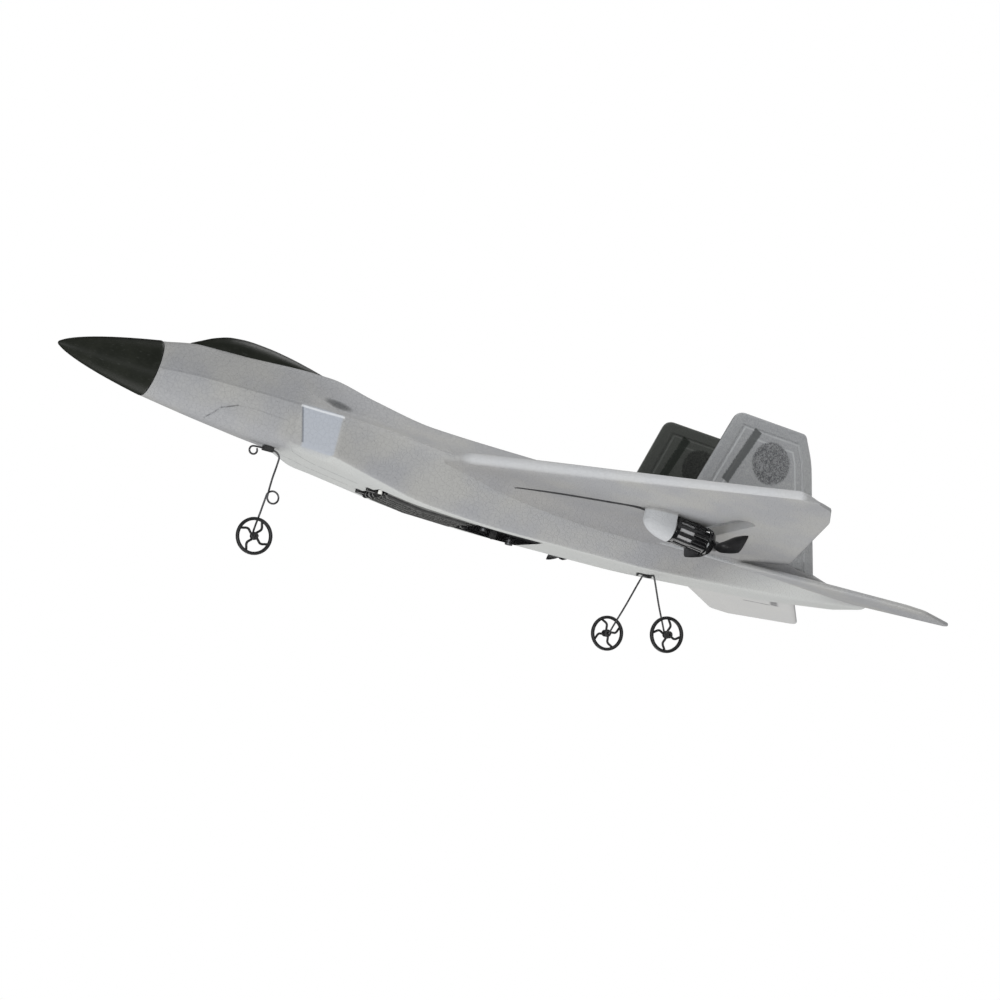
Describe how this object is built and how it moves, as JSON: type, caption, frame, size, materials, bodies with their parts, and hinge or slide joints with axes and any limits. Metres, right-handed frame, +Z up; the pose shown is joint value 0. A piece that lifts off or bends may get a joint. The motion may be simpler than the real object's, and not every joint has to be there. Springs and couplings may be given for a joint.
{
  "type": "rc jet plane",
  "caption": "Foam twin-motor RC jet with pusher propellers in wing slots, twin fins, tailplanes, a hinged battery cover and a bent-wire undercarriage.",
  "frame": {"origin": "centre of the footprint at the bottom of the wheels", "axes": "+X runs aft from the nose, +Y to the starboard wing, +Z up"},
  "size_m": [0.35, 0.267, 0.0973],
  "materials": {
    "foam_grey": "expanded foam skin, matt",
    "cone_black": "satin",
    "gear_wire": "dark spring steel",
    "moulded_black": "satin",
    "wheel_black": "satin",
    "tray_black": "glossy",
    "battery_wrap": "satin film",
    "board_green": "lacquered",
    "lens_white": "clear white",
    "lead_black": "soft sleeve",
    "motor_can": "plated",
    "prop_black": "satin"
  },
  "bodies": {
    "airframe": {"nose_cone": "cone_black", "canopy": "cone_black", "fuselage": "foam_grey", "nose_gear_wire": "gear_wire", "main_gear_wire": "gear_wire", "nose_gear_clip": "moulded_black", "main_gear_clip": "moulded_black", "nose_wheel_collar": "wheel_black", "equipment_tray": "tray_black", "cover_hinge_pin": "gear_wire", "battery": "battery_wrap", "receiver_board": "board_green", "receiver_cover": "tray_black", "power_switch_body": "moulded_black", "cover_screw_1": "gear_wire", "cover_screw_2": "gear_wire", "status_lens": "lens_white", "left_wing": "foam_grey", "left_stabilator": "foam_grey", "left_fin": "foam_grey", "left_motor_lead": "lead_black", "left_motor": "motor_can", "left_motor_holder": "tray_black", "left_wheel_collar": "wheel_black", "right_wing": "foam_grey", "right_stabilator": "foam_grey", "right_fin": "foam_grey", "right_motor_lead": "lead_black", "right_motor": "motor_can", "right_motor_holder": "tray_black", "right_wheel_collar": "wheel_black"},
    "left_prop": {"left_propeller": "prop_black", "left_motor_shaft": "motor_can"},
    "right_prop": {"right_propeller": "prop_black", "right_motor_shaft": "motor_can"},
    "nose_roller": {"nose_wheel": "wheel_black"},
    "left_roller": {"left_wheel": "wheel_black"},
    "right_roller": {"right_wheel": "wheel_black"},
    "battery_door": {"battery_cover": "tray_black"},
    "switch_knob": {"power_switch_slider": "moulded_black"}
  },
  "joints": [
    {"name": "left_prop_spin", "type": "hinge", "parent": "airframe", "child": "left_prop", "pos_m": [0.0668, -0.06, 0.0398], "axis": [0.9936, 0, -0.1132], "continuous": true},
    {"name": "right_prop_spin", "type": "hinge", "parent": "airframe", "child": "right_prop", "pos_m": [0.0668, 0.06, 0.0398], "axis": [0.9936, 0, -0.1132], "continuous": true},
    {"name": "nose_wheel_spin", "type": "hinge", "parent": "airframe", "child": "nose_roller", "pos_m": [-0.0878, 0, 0.007], "axis": [0, 1, 0], "continuous": true},
    {"name": "left_wheel_spin", "type": "hinge", "parent": "airframe", "child": "left_roller", "pos_m": [0.0727, -0.0256, 0.007], "axis": [0, 1, 0], "continuous": true},
    {"name": "right_wheel_spin", "type": "hinge", "parent": "airframe", "child": "right_roller", "pos_m": [0.0727, 0.0256, 0.007], "axis": [0, 1, 0], "continuous": true},
    {"name": "battery_door_hinge", "type": "hinge", "parent": "airframe", "child": "battery_door", "pos_m": [-0.0466, 0, 0.03302], "axis": [0, 1, 0], "range_deg": [0, 85]},
    {"name": "power_switch_slide", "type": "slide", "parent": "airframe", "child": "switch_knob", "axis": [1, 0, 0], "range_m": [0, 0.0022]}
  ]
}
